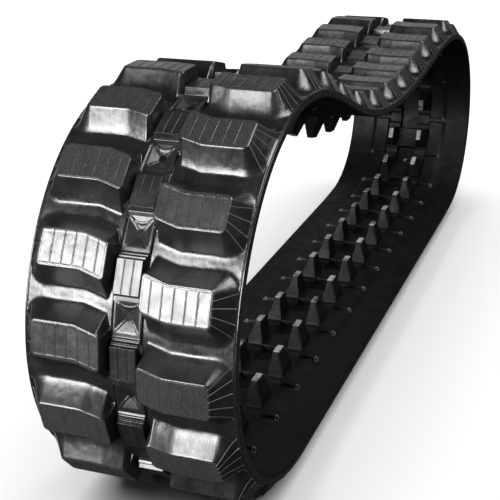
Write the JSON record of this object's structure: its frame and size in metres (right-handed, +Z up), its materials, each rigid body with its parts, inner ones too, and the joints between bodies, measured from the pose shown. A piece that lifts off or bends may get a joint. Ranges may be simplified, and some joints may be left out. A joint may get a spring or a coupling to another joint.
{
  "type": "rubber track",
  "caption": "Endless rubber crawler track with staggered block lugs outside, and roller pads, guide horns and drive pockets inside.",
  "frame": {"origin": "on the floor, at the middle of the track's length and width", "axes": "+X along the track towards the taller end of the loop, +Y across the belt, +Z up"},
  "size_m": [1.7507, 0.3, 0.6178],
  "materials": {
    "track_rubber": "glossy moulded black rubber",
    "core_steel": "dark forged steel",
    "cord_steel": "brass-coated steel cord"
  },
  "bodies": {
    "root": {"bottom_rubber": "track_rubber", "bottom_cores": "core_steel", "cord_ply_left": "cord_steel", "cord_ply_right": "cord_steel"},
    "link_01": {"rubber_section_01": "track_rubber", "steel_core_01": "core_steel"},
    "link_02": {"rubber_section_02": "track_rubber", "steel_core_02": "core_steel"},
    "link_03": {"rubber_section_03": "track_rubber", "steel_core_03": "core_steel"},
    "link_04": {"rubber_section_04": "track_rubber", "steel_core_04": "core_steel"},
    "link_05": {"rubber_section_05": "track_rubber", "steel_core_05": "core_steel"},
    "link_06": {"rubber_section_06": "track_rubber", "steel_core_06": "core_steel"},
    "link_07": {"rubber_section_07": "track_rubber", "steel_core_07": "core_steel"},
    "link_08": {"rubber_section_08": "track_rubber", "steel_core_08": "core_steel"},
    "link_09": {"rubber_section_09": "track_rubber", "steel_core_09": "core_steel"},
    "link_10": {"rubber_section_10": "track_rubber", "steel_core_10": "core_steel"},
    "link_11": {"rubber_section_11": "track_rubber", "steel_core_11": "core_steel"},
    "link_12": {"rubber_section_12": "track_rubber", "steel_core_12": "core_steel"},
    "link_13": {"rubber_section_13": "track_rubber", "steel_core_13": "core_steel"},
    "link_14": {"rubber_section_14": "track_rubber", "steel_core_14": "core_steel"},
    "link_15": {"rubber_section_15": "track_rubber", "steel_core_15": "core_steel"},
    "link_16": {"rubber_section_16": "track_rubber", "steel_core_16": "core_steel"},
    "link_17": {"rubber_section_17": "track_rubber", "steel_core_17": "core_steel"},
    "link_18": {"rubber_section_18": "track_rubber", "steel_core_18": "core_steel"},
    "link_19": {"rubber_section_19": "track_rubber", "steel_core_19": "core_steel"},
    "link_20": {"rubber_section_20": "track_rubber", "steel_core_20": "core_steel"},
    "link_21": {"rubber_section_21": "track_rubber", "steel_core_21": "core_steel"},
    "link_22": {"rubber_section_22": "track_rubber", "steel_core_22": "core_steel"},
    "link_23": {"rubber_section_23": "track_rubber", "steel_core_23": "core_steel"},
    "link_24": {"rubber_section_24": "track_rubber", "steel_core_24": "core_steel"},
    "link_25": {"rubber_section_25": "track_rubber", "steel_core_25": "core_steel"}
  },
  "joints": [
    {"name": "flex_01", "type": "hinge", "parent": "root", "child": "link_01", "pos_m": [0.61601, 0, 0.036], "axis": [0, -1, 0], "range_deg": [-5.5, 5.5], "stiffness_Nm_per_rad": 1500, "springref_deg": 5.63, "deforming": ["cord_ply_left", "cord_ply_right"]},
    {"name": "flex_02", "type": "hinge", "parent": "link_01", "child": "link_02", "pos_m": [0.71967, 0, 0.06968], "axis": [0, -1, 0], "range_deg": [-0.55, 0.55]},
    {"name": "flex_03", "type": "hinge", "parent": "link_02", "child": "link_03", "pos_m": [0.80068, 0, 0.14262], "axis": [0, -1, 0], "range_deg": [-3.79, 3.79]},
    {"name": "flex_04", "type": "hinge", "parent": "link_03", "child": "link_04", "pos_m": [0.83974, 0, 0.24438], "axis": [0, -1, 0], "range_deg": [-3.11, 3.11]},
    {"name": "flex_05", "type": "hinge", "parent": "link_04", "child": "link_05", "pos_m": [0.83214, 0, 0.35311], "axis": [0, -1, 0], "range_deg": [-1.61, 1.61]},
    {"name": "flex_06", "type": "hinge", "parent": "link_05", "child": "link_06", "pos_m": [0.78607, 0, 0.4519], "axis": [0, -1, 0], "range_deg": [-0.55, 0.55]},
    {"name": "flex_07", "type": "hinge", "parent": "link_06", "child": "link_07", "pos_m": [0.71035, 0, 0.53031], "axis": [0, -1, 0], "range_deg": [-0.121, 0.121]},
    {"name": "flex_08", "type": "hinge", "parent": "link_07", "child": "link_08", "pos_m": [0.61157, 0, 0.57637], "axis": [0, -1, 0], "range_deg": [-0.64, 0.64]},
    {"name": "flex_09", "type": "hinge", "parent": "link_08", "child": "link_09", "pos_m": [0.50271, 0, 0.58208], "axis": [0, -1, 0], "range_deg": [-0.82, 0.82]},
    {"name": "flex_10", "type": "hinge", "parent": "link_09", "child": "link_10", "pos_m": [0.39695, 0, 0.55571], "axis": [0, -1, 0], "range_deg": [-0.81, 0.81]},
    {"name": "flex_11", "type": "hinge", "parent": "link_10", "child": "link_11", "pos_m": [0.29662, 0, 0.51312], "axis": [0, -1, 0], "range_deg": [-0.67, 0.67]},
    {"name": "flex_12", "type": "hinge", "parent": "link_11", "child": "link_12", "pos_m": [0.19486, 0, 0.47406], "axis": [0, -1, 0], "range_deg": [-0.55, 0.55]},
    {"name": "flex_13", "type": "hinge", "parent": "link_12", "child": "link_13", "pos_m": [0.08865, 0, 0.44954], "axis": [0, -1, 0], "range_deg": [-0.56, 0.56]},
    {"name": "flex_25", "type": "hinge", "parent": "root", "child": "link_25", "pos_m": [-0.58299, 0, 0.036], "axis": [0, 1, 0], "range_deg": [-2.59, 2.59]},
    {"name": "flex_24", "type": "hinge", "parent": "link_25", "child": "link_24", "pos_m": [-0.69184, 0, 0.0417], "axis": [0, 1, 0], "range_deg": [-4.25, 4.25]},
    {"name": "flex_23", "type": "hinge", "parent": "link_24", "child": "link_23", "pos_m": [-0.78808, 0, 0.09288], "axis": [0, 1, 0], "range_deg": [-2.92, 2.92]},
    {"name": "flex_22", "type": "hinge", "parent": "link_23", "child": "link_22", "pos_m": [-0.83996, 0, 0.18874], "axis": [0, 1, 0], "range_deg": [-3.1, 3.1]},
    {"name": "flex_21", "type": "hinge", "parent": "link_22", "child": "link_21", "pos_m": [-0.82958, 0, 0.29725], "axis": [0, 1, 0], "range_deg": [-4.34, 4.34]},
    {"name": "flex_20", "type": "hinge", "parent": "link_21", "child": "link_20", "pos_m": [-0.76551, 0, 0.38543], "axis": [0, 1, 0], "range_deg": [-0.9, 0.9]},
    {"name": "flex_19", "type": "hinge", "parent": "link_20", "child": "link_19", "pos_m": [-0.67018, 0, 0.43828], "axis": [0, 1, 0], "range_deg": [-0.75, 0.75]},
    {"name": "flex_18", "type": "hinge", "parent": "link_19", "child": "link_18", "pos_m": [-0.56356, 0, 0.46094], "axis": [0, 1, 0], "range_deg": [-1.01, 1.01]},
    {"name": "flex_17", "type": "hinge", "parent": "link_18", "child": "link_17", "pos_m": [-0.45458, 0, 0.46284], "axis": [0, 1, 0], "range_deg": [-0.86, 0.86]},
    {"name": "flex_16", "type": "hinge", "parent": "link_17", "child": "link_16", "pos_m": [-0.34599, 0, 0.45334], "axis": [0, 1, 0], "range_deg": [-0.66, 0.66]},
    {"name": "flex_15", "type": "hinge", "parent": "link_16", "child": "link_15", "pos_m": [-0.23759, 0, 0.44195], "axis": [0, 1, 0], "range_deg": [-0.54, 0.54]},
    {"name": "flex_14", "type": "hinge", "parent": "link_15", "child": "link_14", "pos_m": [-0.12874, 0, 0.43624], "axis": [0, 1, 0], "range_deg": [-0.56, 0.56]}
  ],
  "couplings": [
    {"joint": "flex_02", "follows": "flex_01", "ratio": -0.10002},
    {"joint": "flex_03", "follows": "flex_01", "ratio": -0.68846},
    {"joint": "flex_04", "follows": "flex_01", "ratio": -0.56426},
    {"joint": "flex_05", "follows": "flex_01", "ratio": -0.2923},
    {"joint": "flex_06", "follows": "flex_01", "ratio": -0.10026},
    {"joint": "flex_07", "follows": "flex_01", "ratio": 0.02146},
    {"joint": "flex_08", "follows": "flex_01", "ratio": 0.11619},
    {"joint": "flex_09", "follows": "flex_01", "ratio": 0.1487},
    {"joint": "flex_10", "follows": "flex_01", "ratio": 0.1472},
    {"joint": "flex_11", "follows": "flex_01", "ratio": 0.12124},
    {"joint": "flex_12", "follows": "flex_01", "ratio": 0.09903},
    {"joint": "flex_13", "follows": "flex_01", "ratio": 0.10117},
    {"joint": "flex_25", "follows": "flex_01", "ratio": 0.46993},
    {"joint": "flex_24", "follows": "flex_01", "ratio": 0.77219},
    {"joint": "flex_23", "follows": "flex_01", "ratio": -0.53035},
    {"joint": "flex_22", "follows": "flex_01", "ratio": -0.5639},
    {"joint": "flex_21", "follows": "flex_01", "ratio": -0.7889},
    {"joint": "flex_20", "follows": "flex_01", "ratio": -0.1626},
    {"joint": "flex_19", "follows": "flex_01", "ratio": 0.13672},
    {"joint": "flex_18", "follows": "flex_01", "ratio": 0.18281},
    {"joint": "flex_17", "follows": "flex_01", "ratio": 0.15571},
    {"joint": "flex_16", "follows": "flex_01", "ratio": 0.11898},
    {"joint": "flex_15", "follows": "flex_01", "ratio": 0.0974},
    {"joint": "flex_14", "follows": "flex_01", "ratio": 0.1023}
  ]
}
